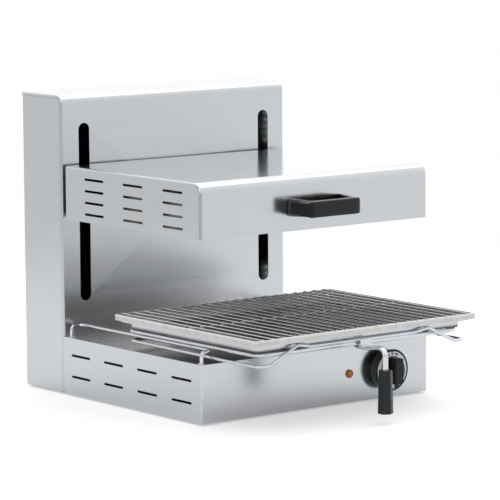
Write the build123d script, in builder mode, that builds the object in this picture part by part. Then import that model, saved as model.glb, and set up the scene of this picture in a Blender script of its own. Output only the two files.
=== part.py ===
"""Electric salamander grill with a rise-and-fall head, 475 mm wide.

Frame: +Z up, the front looks along -Y, the origin is on the floor under the middle of the whole
object, pulled-out grid carrier and lifting handle included.  Millimetres.
"""
from build123d import *
import os
from math import sqrt

os.makedirs("parts", exist_ok=True)

# ---------------------------------------------------------------- driving dimensions
# body
width = 475.0              # over the side panels
column_depth = 115.0
body_height = 500.0        # casing, without the feet
base_reach = 380.0         # base ahead of the column
base_height = 95.0
foot_height = 3.0          # rubber feet under the casing
sheet = 1.5                # stainless sheet
seam = 0.3                 # gap between pieces that lie beside or on each other
column_bend = 14.0         # outer radius of the column's front-top fold
column_fold = 3.5          # outer radius of the column's upright front edges
wrap = 5.0                 # width of the column front's wrap round its edges
casing_fold = 2.5          # outer radius of the small folds
flange = 12.0              # width of the hidden return flanges
# column slots and cross-break
slot_width = 22.0
slot_length = 300.0
slot_x = 191.0
slot_bottom = 152.0        # above the casing's lower edge
break_width = 350.0
break_height = 276.0
break_rise = 3.0
# vents
vent_length = 53.0
vent_height = 4.0
base_vent_pitch = 92.7
base_vent_first = 49.0     # behind the column face
base_vent_low = 30.3
base_vent_step = 36.0
head_vent_pitch = 107.5
head_vent_first = 92.6
head_vent_low = 13.5
head_vent_step = 19.3
# head
head_height = 89.5
head_rest = 294.0          # underside above the casing's lower edge
head_gap = 12.0            # head to column
head_bend = 17.0
head_fold = 4.5            # outer radius of the head's upright front edges
head_up = 110.0            # travel above rest
head_down = 105.0          # travel below rest
# side rails
rail_wire = 6.0
rail_height = 19.0         # wire's centre above the base top
rail_leg_inset = 8.0       # leg centres inside the body's sides
rail_lean = 22.0           # wire's centre inside its legs
rail_leg_x = width / 2 - rail_leg_inset
rail_x = rail_leg_x - rail_lean
rail_rear = 12.0           # leg centres ahead of the column face
rail_front = 370.0
# grid carrier
carrier_wire = 7.0
carrier_x = rail_x + 2.5   # side wire centres, a little outside the rails
carrier_reach = 492.0      # front wire's centre ahead of the column face
carrier_length = 342.0
carrier_corner = 24.0
stay_wire = 5.2            # lower, thinner wire
stay_drop = 14.5           # its centre under the carrier wire's
# drip tray and grid
tray_width = 2 * carrier_x + 6.0    # its rim lies on the side wires
tray_length = 336.0
tray_height = 13.5
tray_wall = 1.2
tray_taper = 10.0
grid_width = 2 * carrier_x + 38.0   # it overhangs the side wires
grid_length = 372.0
grid_reach = 508.0
grid_bar = 3.0
grid_bar_height = 9.5
grid_rod = 4.0
grid_rods = 21
# lifting handle
fork_wire = 5.0
fork_spread = 8.0
handle_reach = 57.5        # grip axis ahead of the carrier's front wire
grip_length = 70.0
grip_top_width = 23.0
grip_foot_width = 26.0
grip_top = 83.5            # above the casing's lower edge
# bow handle
bow_width = 136.0
bow_front_width = 112.0
bow_reach = 38.0
bow_height = 24.0
bow_bar = 9.0
bow_centre = 333.5         # above the casing's lower edge
# knob and lamp
control_height = 48.0      # above the casing's lower edge
knob_x = 144.0
knob_diameter = 70.0
knob_depth = 20.0
knob_bar_length = 44.0
knob_bar_width = 19.0
knob_bar_reach = 19.0
shaft_diameter = 6.0
lamp_x = 67.7
lamp_diameter = 14.0
lamp_proud = 3.0
# lift
guide_rod = 12.0
guide_depth = 30.0         # rod centres behind the column face
arm_thickness = 8.0
arm_height = 36.0
arm_above = 3.0            # arm's lower edge above the head's underside
bush_wall = 2.5
run_gap = 0.05             # radial clearance of a running fit
housing_width = 30.0
housing_height = 56.0
buffer_height = 10.0
buffer_diameter = 22.0
spring_x = 120.0
spring_diameter = 20.0
spring_wire = 2.5
# heating elements
element_diameter = 8.0
element_gap = 44.0         # between the two legs of one hairpin
element_pitch = 100.0
# rear
gland_diameter = 20.0
gland_bore = 9.0
gland_proud = 13.0
gland_x = -150.0
gland_height = 42.0
stud_x = -100.0
stud_diameter = 6.0
back_vent_top = 90.0       # middle of the upper vents under the casing's top
back_vent_low = 130.0      # middle of the lower vents above the casing's lower edge
back_vent_columns = 4
back_vent_rows = 5

# ---------------------------------------------------------------- derived places
half = width / 2
column_y = (carrier_reach + handle_reach + grip_foot_width / 2 - column_depth - gland_proud) / 2
rear_y = column_y + column_depth
front_y = column_y - base_reach
floor_z = foot_height
top_z = floor_z + body_height
base_z = floor_z + base_height
control_z = floor_z + control_height
inner_half = half - sheet - seam
head_z = floor_z + head_rest
head_top = head_z + head_height
head_rear = column_y - head_gap
slot_z = floor_z + slot_bottom + slot_length / 2
guide_y = column_y + guide_depth
arm_z = head_z + arm_above + arm_height / 2
rail_z = base_z + rail_height
wire_touch = (rail_wire + carrier_wire) / 2 + seam
carrier_z = rail_z + wire_touch
carrier_y = column_y - carrier_reach
carrier_rear = carrier_y + carrier_length
tray_z = carrier_z + carrier_wire / 2 + seam
tray_front = carrier_y + 2.0
tray_mid = tray_front + tray_length / 2
grid_z = tray_z + tray_height + seam
grid_front = column_y - grid_reach
grid_mid = grid_front + grid_length / 2
grip_y = carrier_y - handle_reach
front_plane = Plane(origin=(0, front_y, 0), x_dir=(1, 0, 0), z_dir=(0, -1, 0))
column_plane = Plane(origin=(0, column_y, 0), x_dir=(1, 0, 0), z_dir=(0, -1, 0))
back_plane = Plane(origin=(0, rear_y, 0), x_dir=(-1, 0, 0), z_dir=(0, 1, 0))


def behind(plane, depth):
    """The same plane, moved into the object."""
    return plane.offset(-depth)


# ---------------------------------------------------------------- column: folded front and top
cover_low = floor_z + sheet + seam
cover_rear = rear_y - sheet
with BuildPart() as column_cover:
    with BuildSketch(Plane.YZ) as cover_outline:
        with Locations(((column_y + cover_rear) / 2, (cover_low + top_z) / 2)):
            Rectangle(cover_rear - column_y, top_z - cover_low)
        corner = cover_outline.vertices().sort_by(Axis.Y)[-2:].sort_by(Axis.X)[0]
        fillet(corner, column_bend)
    extrude(amount=half, both=True)
    fillet(column_cover.edges().filter_by(Axis.Z).group_by(Axis.Y)[0], column_fold)
    with BuildSketch(Plane.YZ) as cover_inside:
        with Locations(((column_y + cover_rear) / 2 + sheet, (cover_low + top_z) / 2 - sheet)):
            Rectangle(cover_rear - column_y, top_z - cover_low)
        corner = cover_inside.vertices().sort_by(Axis.Y)[-2:].sort_by(Axis.X)[0]
        fillet(corner, column_bend - sheet)
    extrude(amount=half - sheet, both=True, mode=Mode.SUBTRACT)
    fillet(
        column_cover.edges().filter_by(Axis.Z).filter_by(
            lambda e: abs(e.center().Y - column_y - sheet) < 0.01
        ),
        column_fold - sheet,
    )
    for side in (-1, 1):
        with BuildSketch(Plane.YZ.offset(side * (half - sheet))) as wrap_outline:
            with Locations((column_y + wrap + column_depth / 2, top_z - wrap - body_height / 2)):
                Rectangle(column_depth, body_height)
            corner = wrap_outline.vertices().sort_by(Axis.Y)[-2:].sort_by(Axis.X)[0]
            fillet(corner, column_bend - wrap)
        extrude(amount=side * 2 * sheet, mode=Mode.SUBTRACT)
    with BuildSketch(Plane.YZ):
        with Locations((cover_rear - sheet / 2, top_z - (flange + sheet / 2) / 2 - sheet / 2)):
            Rectangle(sheet, flange - sheet / 2)
    extrude(amount=inner_half - column_fold, both=True)
    with BuildSketch(column_plane):
        with Locations((0, slot_z)):
            Rectangle(break_width, break_height)
    with BuildSketch(column_plane.offset(break_rise)):
        with Locations((0, slot_z)):
            Rectangle(break_width / 100, break_height / 100)
    loft(ruled=True)
    with BuildSketch(behind(column_plane, sheet)):
        with Locations((0, slot_z)):
            Rectangle(break_width, break_height)
    with BuildSketch(column_plane.offset(break_rise - sheet)):
        with Locations((0, slot_z)):
            Rectangle(break_width / 100, break_height / 100)
    loft(ruled=True, mode=Mode.SUBTRACT)
    with BuildSketch(column_plane):
        with Locations((-slot_x, slot_z), (slot_x, slot_z)):
            SlotOverall(slot_length, slot_width, rotation=90)
    extrude(amount=2 * sheet, both=True, mode=Mode.SUBTRACT)
column_cover.part.label = "column_cover"
export_step(column_cover.part, "parts/column_cover.step")

# ---------------------------------------------------------------- column: side panels
side_front = column_y + wrap + seam
side_top = top_z - wrap - seam
back_screw_x = half - sheet - flange / 2
back_screw_z = [floor_z + 40, (floor_z + top_z) / 2, top_z - 60]
screw_r = 1.9
screw_hole_r = 2.2
for side, name in ((-1, "column_side_left"), (1, "column_side_right")):
    with BuildPart() as column_side:
        with BuildSketch(Plane.XY.offset(floor_z)):
            with BuildLine():
                FilletPolyline(
                    (side * half, column_y),
                    (side * half, rear_y - sheet),
                    (side * (half - sheet - flange), rear_y - sheet),
                    radius=casing_fold,
                )
                offset(amount=sheet, side=Side.LEFT if side > 0 else Side.RIGHT)
            make_face()
        extrude(amount=body_height)
        with BuildSketch(Plane.YZ) as outline:
            with Locations(((side_front + rear_y) / 2, (floor_z + side_top) / 2)):
                Rectangle(rear_y - side_front, side_top - floor_z)
            corner = outline.vertices().sort_by(Axis.Y)[-2:].sort_by(Axis.X)[0]
            fillet(corner, column_bend - wrap - seam)
        extrude(amount=half, both=True, mode=Mode.INTERSECT)
        with BuildSketch(Plane.YZ.offset(side * (half - sheet - flange))):
            with Locations((rear_y - sheet, top_z)):
                Rectangle(4 * sheet, 2 * (flange + 2 * seam))
        extrude(amount=side * flange, mode=Mode.SUBTRACT)
        with BuildSketch(behind(back_plane, sheet)):
            with Locations([(-side * back_screw_x, z) for z in back_screw_z]):
                Circle(screw_hole_r)
        extrude(amount=-2 * sheet, mode=Mode.SUBTRACT)
    column_side.part.label = name
    export_step(column_side.part, f"parts/{name}.step")

# ---------------------------------------------------------------- column: back cover
back_low = floor_z + sheet + seam
back_high = top_z - seam
with BuildPart() as back_cover:
    with BuildSketch(behind(back_plane, sheet)):
        with Locations((0, (back_low + back_high) / 2)):
            Rectangle(2 * (half - seam - casing_fold), back_high - back_low)
    extrude(amount=sheet)
    with BuildSketch(back_plane):
        with Locations((0, top_z - back_vent_top), (0, floor_z + back_vent_low)):
            with GridLocations(2 * vent_length, 3 * vent_height, back_vent_columns, back_vent_rows):
                SlotOverall(vent_length, vent_height)
        with Locations([(s * back_screw_x, z) for s in (-1, 1) for z in back_screw_z]):
            Circle(screw_hole_r)
        with Locations((-gland_x, floor_z + gland_height)):
            Circle(gland_diameter / 2 - 1.5)
        with Locations((-stud_x, floor_z + gland_height)):
            Circle(stud_diameter / 2 + 0.4)
    extrude(amount=-2 * sheet, mode=Mode.SUBTRACT)
back_cover.part.label = "back_cover"
export_step(back_cover.part, "parts/back_cover.step")

with BuildPart() as back_screws:
    with BuildSketch(back_plane):
        with Locations([(s * back_screw_x, z) for s in (-1, 1) for z in back_screw_z]):
            Circle(3.8)
    extrude(amount=2.2)
    fillet(back_screws.edges().group_by(Axis.Y)[-1], 1.2)
    with BuildSketch(back_plane):
        with Locations([(s * back_screw_x, z) for s in (-1, 1) for z in back_screw_z]):
            Circle(screw_r)
    extrude(amount=-8)
back_screws.part.label = "back_screws"
export_step(back_screws.part, "parts/back_screws.step")

# ---------------------------------------------------------------- cable gland and bonding stud
with BuildPart() as cable_gland:
    with BuildSketch(back_plane):
        with Locations((-gland_x, floor_z + gland_height)):
            RegularPolygon(gland_diameter / 2 + 2, 6)
    extrude(amount=5)
    with BuildSketch(back_plane.offset(5)):
        with Locations((-gland_x, floor_z + gland_height)):
            Circle(gland_diameter / 2)
    extrude(amount=gland_proud - 5, taper=12)
    with BuildSketch(back_plane):
        with Locations((-gland_x, floor_z + gland_height)):
            Circle(gland_diameter / 2 - 2)
    extrude(amount=-12)
    with BuildSketch(behind(back_plane, 12)):
        with Locations((-gland_x, floor_z + gland_height)):
            Circle(gland_bore / 2)
    extrude(amount=12 + gland_proud, mode=Mode.SUBTRACT)
cable_gland.part.label = "cable_gland"
export_step(cable_gland.part, "parts/cable_gland.step")

with BuildPart() as gland_nut:
    with BuildSketch(behind(back_plane, sheet)):
        with Locations((-gland_x, floor_z + gland_height)):
            RegularPolygon(gland_diameter / 2 + 2, 6)
            Circle(gland_diameter / 2 - 2 + seam / 2, mode=Mode.SUBTRACT)
    extrude(amount=-5)
gland_nut.part.label = "gland_nut"
export_step(gland_nut.part, "parts/gland_nut.step")

stud_nut = 5.0
stud_shoulder = stud_diameter / 2 + 0.2
with BuildPart() as bonding_stud:
    with BuildSketch(behind(back_plane, sheet)):
        with Locations((-stud_x, floor_z + gland_height)):
            RegularPolygon(5.5, 6)
    extrude(amount=-4)
    with BuildSketch(behind(back_plane, sheet)):
        with Locations((-stud_x, floor_z + gland_height)):
            Circle(stud_shoulder)
    extrude(amount=sheet + stud_nut + 0.5)
    with BuildSketch(back_plane):
        with Locations((-stud_x, floor_z + gland_height)):
            Circle(stud_diameter / 2)
    extrude(amount=12)
bonding_stud.part.label = "bonding_stud"
export_step(bonding_stud.part, "parts/bonding_stud.step")

with BuildPart() as bonding_nut:
    with BuildSketch(back_plane):
        with Locations((-stud_x, floor_z + gland_height)):
            RegularPolygon(5.5, 6)
            Circle(stud_shoulder + 0.1, mode=Mode.SUBTRACT)
    extrude(amount=stud_nut)
bonding_nut.part.label = "bonding_nut"
export_step(bonding_nut.part, "parts/bonding_nut.step")

# ---------------------------------------------------------------- base casing
base_rear = column_y - seam
rail_legs = [(s * rail_leg_x, column_y - d) for s in (-1, 1) for d in (rail_rear, rail_front)]
lamp_hole_r = lamp_diameter / 2 - 1
shaft_hole_r = 5.3
with BuildPart() as base_casing:
    with BuildSketch(Plane.XY.offset(floor_z)):
        with BuildLine():
            FilletPolyline(
                (-half, base_rear), (-half, front_y), (half, front_y), (half, base_rear),
                radius=casing_fold,
            )
            offset(amount=sheet, side=Side.LEFT)
        make_face()
    extrude(amount=base_height)
    for flange_z in (floor_z + sheet, base_z - 2 * sheet):
        with BuildSketch(Plane.XY.offset(flange_z)):
            with Locations((0, (base_rear + front_y) / 2)):
                Rectangle(width - sheet, base_rear - front_y - sheet)
            with Locations((0, (base_rear + front_y) / 2 + flange)):
                Rectangle(width - 2 * (sheet + flange), base_rear - front_y, mode=Mode.SUBTRACT)
        extrude(amount=sheet)
    with BuildSketch(Plane.YZ):
        for row in range(2):
            for column in range(4):
                vent_y = column_y - base_vent_first - column * base_vent_pitch
                with Locations((vent_y, floor_z + base_vent_low + row * base_vent_step)):
                    SlotOverall(vent_length, vent_height)
    extrude(amount=half + sheet, both=True, mode=Mode.SUBTRACT)
    with BuildSketch(front_plane):
        with Locations((lamp_x, control_z)):
            Circle(lamp_hole_r)
        with Locations((knob_x, control_z)):
            Circle(shaft_hole_r)
    extrude(amount=-2 * sheet, mode=Mode.SUBTRACT)
    with BuildSketch(Plane.XY.offset(base_z - 2 * sheet)):
        with Locations(rail_legs):
            Circle(rail_wire / 2 + seam)
    extrude(amount=sheet, mode=Mode.SUBTRACT)
base_casing.part.label = "base_casing"
export_step(base_casing.part, "parts/base_casing.step")

# ---------------------------------------------------------------- base top and bottom plate
top_plate_front = front_y + sheet + 3 * seam
with BuildPart() as base_top:
    with BuildSketch(Plane.XY.offset(base_z - sheet)):
        with Locations((0, (base_rear + top_plate_front) / 2)):
            Rectangle(2 * inner_half, base_rear - top_plate_front)
        with Locations(rail_legs):
            Circle(rail_wire / 2 + seam, mode=Mode.SUBTRACT)
    extrude(amount=sheet)
base_top.part.label = "base_top"
export_step(base_top.part, "parts/base_top.step")

with BuildPart() as bottom_plate:
    with BuildSketch(Plane.XY.offset(floor_z)):
        with Locations((0, (front_y + rear_y) / 2)):
            Rectangle(2 * inner_half, rear_y - front_y - 4 * sheet - 2 * seam)
        with Locations((0, front_y + base_reach / 2)):
            with GridLocations(2 * vent_length, 40, 3, 3):
                SlotOverall(vent_length, vent_height, mode=Mode.SUBTRACT)
    extrude(amount=sheet)
bottom_plate.part.label = "bottom_plate"
export_step(bottom_plate.part, "parts/bottom_plate.step")

foot_x = half - 45
foot_inset = 55
with BuildPart() as feet:
    with BuildSketch():
        with Locations([(s * foot_x, y) for s in (-1, 1) for y in (front_y + foot_inset, rear_y - foot_inset)]):
            Circle(13)
    extrude(amount=foot_height)
    chamfer(feet.edges().group_by(Axis.Z)[0], 0.8)
feet.part.label = "feet"
export_step(feet.part, "parts/feet.step")

# ---------------------------------------------------------------- side rails
leg_foot = base_z - sheet - 8
for side, name in ((-1, "rail_left"), (1, "rail_right")):
    with BuildPart() as rail:
        with BuildLine() as rail_line:
            FilletPolyline(
                (side * rail_leg_x, column_y - rail_rear, leg_foot),
                (side * rail_leg_x, column_y - rail_rear, rail_z),
                (side * rail_x, column_y - rail_rear, rail_z),
                (side * rail_x, column_y - rail_front, rail_z),
                (side * rail_leg_x, column_y - rail_front, rail_z),
                (side * rail_leg_x, column_y - rail_front, leg_foot),
                radius=[7, 12, 12, 7],
            )
        with BuildSketch(Plane.XY.offset(leg_foot)):
            with Locations((side * rail_leg_x, column_y - rail_rear)):
                Circle(rail_wire / 2)
        sweep(path=rail_line.wires()[0])
    rail.part.label = name
    export_step(rail.part, f"parts/{name}.step")

washer_height = 1.5
with BuildPart() as rail_washers:
    with BuildSketch(Plane.XY.offset(base_z)):
        with Locations(rail_legs):
            Circle(rail_wire)
            Circle(rail_wire / 2 + 0.1, mode=Mode.SUBTRACT)
    extrude(amount=washer_height)
rail_washers.part.label = "rail_washers"
export_step(rail_washers.part, "parts/rail_washers.step")

with BuildPart() as rail_nuts:
    with BuildSketch(Plane.XY.offset(base_z - 2 * sheet)):
        with Locations(rail_legs):
            RegularPolygon(5.2, 6)
            Circle(rail_wire / 2 + 0.1, mode=Mode.SUBTRACT)
    extrude(amount=-4)
rail_nuts.part.label = "rail_nuts"
export_step(rail_nuts.part, "parts/rail_nuts.step")

# ---------------------------------------------------------------- grid carrier
wire_weld = 0.1            # how far welded wires sink into each other
stay_touch = (carrier_wire + stay_wire) / 2 - wire_weld
stay_x = carrier_x + stay_touch
stay_z = carrier_z - stay_drop
stay_low = stay_z - 2
stay_front = carrier_y - stay_touch
stay_rear = carrier_rear - 10
stay_join = 5.0            # half the butt weld in the stay's rear run
stay_lean = 2.2            # along the middle the stay lies on the front wire, a little ahead of it
stay_mid_y = carrier_y - stay_lean
stay_mid_z = carrier_z + sqrt(stay_touch**2 - stay_lean**2)
hump_x = carrier_x - 73.0
hump_z = carrier_z + 11.0
hump_inner = carrier_x - 102.0
climb_x = carrier_x - 17.0
with BuildPart() as carrier:
    with BuildLine() as carrier_line:
        FilletPolyline(
            (-carrier_x, carrier_rear),
            (-carrier_x, carrier_y),
            (carrier_x, carrier_y),
            (carrier_x, carrier_rear),
            radius=[10, carrier_corner, carrier_corner, 10],
            close=True,
        )
    carrier_path = carrier_line.wires()[0].moved(Location((0, 0, carrier_z)))
    with BuildSketch(Plane(origin=carrier_path @ 0, z_dir=carrier_path % 0)):
        Circle(carrier_wire / 2)
    sweep(path=carrier_path)
    left_stay = [
        (-stay_join, stay_rear, stay_z),
        (-stay_x, stay_rear, stay_z),
        (-stay_x, stay_front, stay_low),
        (-climb_x, stay_front, stay_low),
        (-hump_x, stay_front, hump_z),
        (-hump_inner, stay_mid_y, stay_mid_z),
    ]
    right_stay = [(-x, y, z) for x, y, z in reversed(left_stay)]
    stay_bends = [10, 12, 14, 12, 12]
    with BuildLine() as stay_line:
        FilletPolyline(*left_stay, *right_stay, radius=stay_bends + stay_bends[::-1])
    with BuildSketch(Plane(origin=left_stay[0], z_dir=(-1, 0, 0))):
        Circle(stay_wire / 2)
    sweep(path=stay_line.wires()[0])
    with Locations((0, stay_rear, stay_z)):
        Cylinder(stay_wire / 2, 4 * stay_join, rotation=(0, 90, 0))
carrier.part.label = "carrier"
export_step(carrier.part, "parts/carrier.step")

# ---------------------------------------------------------------- drip tray
rim_half = grid_width / 2 - grid_bar / 2
tray_rim = rim_half - tray_width / 2
with BuildPart() as drip_tray:
    with BuildSketch(Plane.XY.offset(tray_z)):
        with Locations((0, tray_mid)):
            RectangleRounded(tray_width, tray_length, 10)
    extrude(amount=tray_height, taper=-tray_taper)
    with BuildSketch(Plane.XY.offset(tray_z + tray_height - tray_wall)):
        with Locations((0, tray_mid)):
            RectangleRounded(tray_width + 2 * tray_rim, tray_length + 2 * tray_rim, 14)
    extrude(amount=tray_wall)
    with BuildSketch(Plane.XY.offset(tray_z + tray_wall)):
        with Locations((0, tray_mid)):
            RectangleRounded(tray_width - 2 * tray_wall, tray_length - 2 * tray_wall, 9)
    extrude(amount=tray_height, taper=-tray_taper, mode=Mode.SUBTRACT)
drip_tray.part.label = "drip_tray"
export_step(drip_tray.part, "parts/drip_tray.step")

# ---------------------------------------------------------------- grid
grid_top = grid_z + grid_bar_height
rod_z = grid_top - grid_rod / 2 + 1.5
rod_pitch = (grid_width - 2 * grid_bar) / (grid_rods + 0.2)
with BuildPart() as grid:
    with BuildSketch(Plane.XY.offset(grid_z)):
        with Locations((0, grid_mid)):
            Rectangle(grid_width, grid_length)
            Rectangle(grid_width - 2 * grid_bar, grid_length - 2 * grid_bar, mode=Mode.SUBTRACT)
    extrude(amount=grid_bar_height)
    with Locations((0, grid_mid, rod_z)):
        with GridLocations(rod_pitch, 1, grid_rods, 1):
            Cylinder(grid_rod / 2, grid_length - grid_bar, rotation=(90, 0, 0))
        with Locations((0, 0, -grid_rod + 0.4)):
            Cylinder(grid_rod / 2, grid_width - grid_bar, rotation=(0, 90, 0))
grid.part.label = "grid"
export_step(grid.part, "parts/grid.step")

# ---------------------------------------------------------------- lifting handle
prong_z = carrier_z - carrier_wire / 2 - seam - fork_wire / 2
grip_high = floor_z + grip_top
fork_neck = fork_wire / 2 - 0.1
tang = 28.0
fork_tip = 7.5             # tips behind the front wire's centre
hook_sheet = 1.5
hook_r = stay_touch + stay_wire / 2 + seam
with BuildPart() as lift_fork:
    for side in (-1, 1):
        prong = [
            (side * fork_spread, carrier_y + fork_tip, prong_z + 6),
            (side * fork_spread, carrier_y + fork_tip, prong_z),
            (side * fork_spread, carrier_y - 20, prong_z),
            (side * fork_neck, carrier_y - 38, prong_z + 2),
            (side * fork_neck, grip_y, prong_z + 2),
            (side * fork_neck, grip_y, grip_high - tang),
        ]
        with BuildLine() as prong_line:
            FilletPolyline(*prong, radius=[3, 15, 15, 12])
        with BuildSketch(Plane(origin=prong[0], z_dir=(0, 0, -1))):
            Circle(fork_wire / 2)
        sweep(path=prong_line.wires()[0])
    with BuildSketch(Plane.YZ):
        with BuildLine():
            hook = CenterArc((carrier_y, carrier_z), hook_r, 138, 42)
            Line(hook @ 1, (carrier_y - hook_r, prong_z))
            offset(amount=hook_sheet, side=Side.RIGHT)
        make_face()
    extrude(amount=fork_spread + fork_wire / 2, both=True)
lift_fork.part.label = "lift_fork"
export_step(lift_fork.part, "parts/lift_fork.step")

with BuildPart() as lift_grip:
    with BuildSketch(Plane.XY.offset(grip_high - grip_length)) as grip_foot:
        with Locations((0, grip_y)):
            RegularPolygon(grip_foot_width / 2, 6, major_radius=True, rotation=30)
        fillet(grip_foot.vertices(), 3)
    with BuildSketch(Plane.XY.offset(grip_high)) as grip_head:
        with Locations((0, grip_y)):
            RegularPolygon(grip_top_width / 2, 6, major_radius=True, rotation=30)
        fillet(grip_head.vertices(), 3)
    loft()
    fillet(lift_grip.edges().group_by(Axis.Z)[0], 1.5)
    with BuildSketch(Plane.XY.offset(grip_high)):
        with Locations((0, grip_y)):
            SlotOverall(4 * fork_neck + 0.5, fork_wire + 0.2)
    extrude(amount=-tang - 0.5, mode=Mode.SUBTRACT)
lift_grip.part.label = "lift_grip"
export_step(lift_grip.part, "parts/lift_grip.step")

# ---------------------------------------------------------------- knob, dial, regulator
knob_r = knob_diameter / 2
knob_gap = 1.0             # knob to the front
knob_back = knob_depth - 5
dial_recess = 1.2
dial_edge = 2.5
dial_width = 9.5
hub_r = 8.0
shaft_bore = shaft_diameter / 2 + 0.1
knob_section = Plane(origin=(knob_x, front_y, control_z), x_dir=(0, 0, 1), z_dir=(1, 0, 0))
with BuildPart() as knob:
    with BuildSketch(knob_section):
        with BuildLine():
            Polyline(
                (shaft_bore, knob_gap),
                (hub_r, knob_gap),
                (hub_r, knob_back),
                (knob_r - 6, knob_back),
                (knob_r - 6, knob_gap),
                (knob_r - 3, knob_gap),
                (knob_r, knob_depth - 1),
                (knob_r - 1, knob_depth),
                (knob_r - dial_edge, knob_depth),
                (knob_r - dial_edge, knob_depth - dial_recess),
                (knob_r - dial_edge - dial_width, knob_depth - dial_recess),
                (knob_r - dial_edge - dial_width, knob_depth),
                (0, knob_depth),
                (0, knob_depth - 4),
                (shaft_bore, knob_depth - 4),
                close=True,
            )
        make_face()
    revolve(axis=Axis((knob_x, front_y, control_z), (0, -1, 0)))
    with BuildSketch(front_plane.offset(knob_depth - 2 * dial_recess)) as bar_root:
        with Locations((knob_x, control_z)):
            Rectangle(knob_bar_width, knob_bar_length)
        fillet(bar_root.vertices(), 3)
    extrude(amount=knob_bar_reach + 2 * dial_recess, taper=3)
    fillet(knob.faces().sort_by(Axis.Y)[0].edges(), 1.5)
knob.part.label = "knob"
export_step(knob.part, "parts/knob.step")

dial_gap = 0.2
with BuildPart() as knob_dial:
    with BuildSketch(front_plane.offset(knob_depth - dial_recess)):
        with Locations((knob_x, control_z)):
            Circle(knob_r - dial_edge - dial_gap)
            Circle(knob_r - dial_edge - dial_width + dial_gap, mode=Mode.SUBTRACT)
            Rectangle(knob_bar_width + 1, knob_bar_length + 1, mode=Mode.SUBTRACT)
    extrude(amount=0.8)
knob_dial.part.label = "knob_dial"
export_step(knob_dial.part, "parts/knob_dial.step")

with BuildPart() as regulator_shaft:
    with BuildSketch(behind(front_plane, 12)):
        with Locations((knob_x, control_z)):
            Circle(shaft_diameter / 2)
    extrude(amount=12 + knob_depth - 4.5)
regulator_shaft.part.label = "regulator_shaft"
export_step(regulator_shaft.part, "parts/regulator_shaft.step")

with BuildPart() as regulator_body:
    with BuildSketch(behind(front_plane, sheet + 1)):
        with Locations((knob_x, control_z)):
            RectangleRounded(46, 46, 3)
    extrude(amount=-34)
    with BuildSketch(behind(front_plane, sheet + 1)):
        with Locations((knob_x, control_z)):
            Circle(shaft_hole_r - 0.3)
    extrude(amount=sheet + 1.2)
    with BuildSketch(front_plane.offset(1)):
        with Locations((knob_x, control_z)):
            Circle(shaft_diameter / 2 + 0.1)
    extrude(amount=-14, mode=Mode.SUBTRACT)
    with BuildSketch(behind(front_plane, sheet + 35)):
        with Locations((knob_x, control_z)):
            with GridLocations(14, 28, 3, 2):
                Rectangle(6.3, 0.8)
    extrude(amount=-8)
regulator_body.part.label = "regulator_body"
export_step(regulator_body.part, "parts/regulator_body.step")

# ---------------------------------------------------------------- pilot lamp
with BuildPart() as pilot_lens:
    with BuildSketch(front_plane):
        with Locations((lamp_x, control_z)):
            Circle(lamp_diameter / 2)
    extrude(amount=lamp_proud)
    fillet(pilot_lens.faces().sort_by(Axis.Y)[0].edges(), 1.8)
    with BuildSketch(front_plane):
        with Locations((lamp_x, control_z)):
            Circle(lamp_hole_r - 0.2)
    extrude(amount=-3)
pilot_lens.part.label = "pilot_lens"
export_step(pilot_lens.part, "parts/pilot_lens.step")

with BuildPart() as lamp_body:
    with BuildSketch(behind(front_plane, 3)):
        with Locations((lamp_x, control_z)):
            Circle(lamp_hole_r - 0.2)
    extrude(amount=-24)
    with BuildSketch(behind(front_plane, 27)):
        with Locations((lamp_x, control_z)):
            with GridLocations(6, 1, 2, 1):
                Rectangle(0.8, 4.8)
    extrude(amount=-8)
lamp_body.part.label = "lamp_body"
export_step(lamp_body.part, "parts/lamp_body.step")

with BuildPart() as terminal_block:
    with BuildSketch(Plane.XY.offset(floor_z + sheet)):
        with Locations((gland_x + 50, rear_y - 55)):
            Rectangle(62, 26)
    extrude(amount=14)
    with BuildSketch(Plane.XY.offset(floor_z + sheet + 14)):
        with Locations((gland_x + 50, rear_y - 55)):
            Rectangle(62, 12)
            with GridLocations(12, 1, 5, 1):
                Circle(2.4, mode=Mode.SUBTRACT)
    extrude(amount=8)
terminal_block.part.label = "terminal_block"
export_step(terminal_block.part, "parts/terminal_block.step")

# ---------------------------------------------------------------- head shell
head_mid = (front_y + head_rear) / 2
head_depth = head_rear - front_y
with BuildPart() as head_shell:
    with BuildSketch(Plane.YZ) as head_outline:
        with Locations((head_mid, head_z + head_height / 2)):
            Rectangle(head_depth, head_height)
        corner = head_outline.vertices().sort_by(Axis.Y)[-2:].sort_by(Axis.X)[0]
        fillet(corner, head_bend)
    extrude(amount=half, both=True)
    fillet(head_shell.edges().filter_by(Axis.Z).group_by(Axis.Y)[0], head_fold)
    with BuildSketch(Plane.YZ) as head_inside:
        with Locations((head_mid + sheet, head_z + head_height / 2 - sheet)):
            Rectangle(head_depth, head_height)
        corner = head_inside.vertices().sort_by(Axis.Y)[-2:].sort_by(Axis.X)[0]
        fillet(corner, head_bend - sheet)
    extrude(amount=half - sheet, both=True, mode=Mode.SUBTRACT)
    fillet(
        head_shell.edges().filter_by(Axis.Z).filter_by(
            lambda e: abs(e.center().Y - front_y - sheet) < 0.01
        ),
        head_fold - sheet,
    )
    with BuildSketch(Plane.XY.offset(head_z)):
        with Locations((0, head_mid)):
            RectangleRounded(width - sheet, head_depth - sheet, head_fold - sheet / 2)
        with Locations((0, head_mid + flange)):
            Rectangle(width - 2 * (sheet + flange), head_depth, mode=Mode.SUBTRACT)
    extrude(amount=sheet)
    with BuildSketch(Plane.YZ):
        for row in range(4):
            for column in range(3):
                vent_y = column_y - head_vent_first - column * head_vent_pitch
                with Locations((vent_y, head_z + head_vent_low + row * head_vent_step)):
                    SlotOverall(vent_length, vent_height)
    extrude(amount=half + sheet, both=True, mode=Mode.SUBTRACT)
head_shell.part.label = "head_shell"
export_step(head_shell.part, "parts/head_shell.step")

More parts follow.
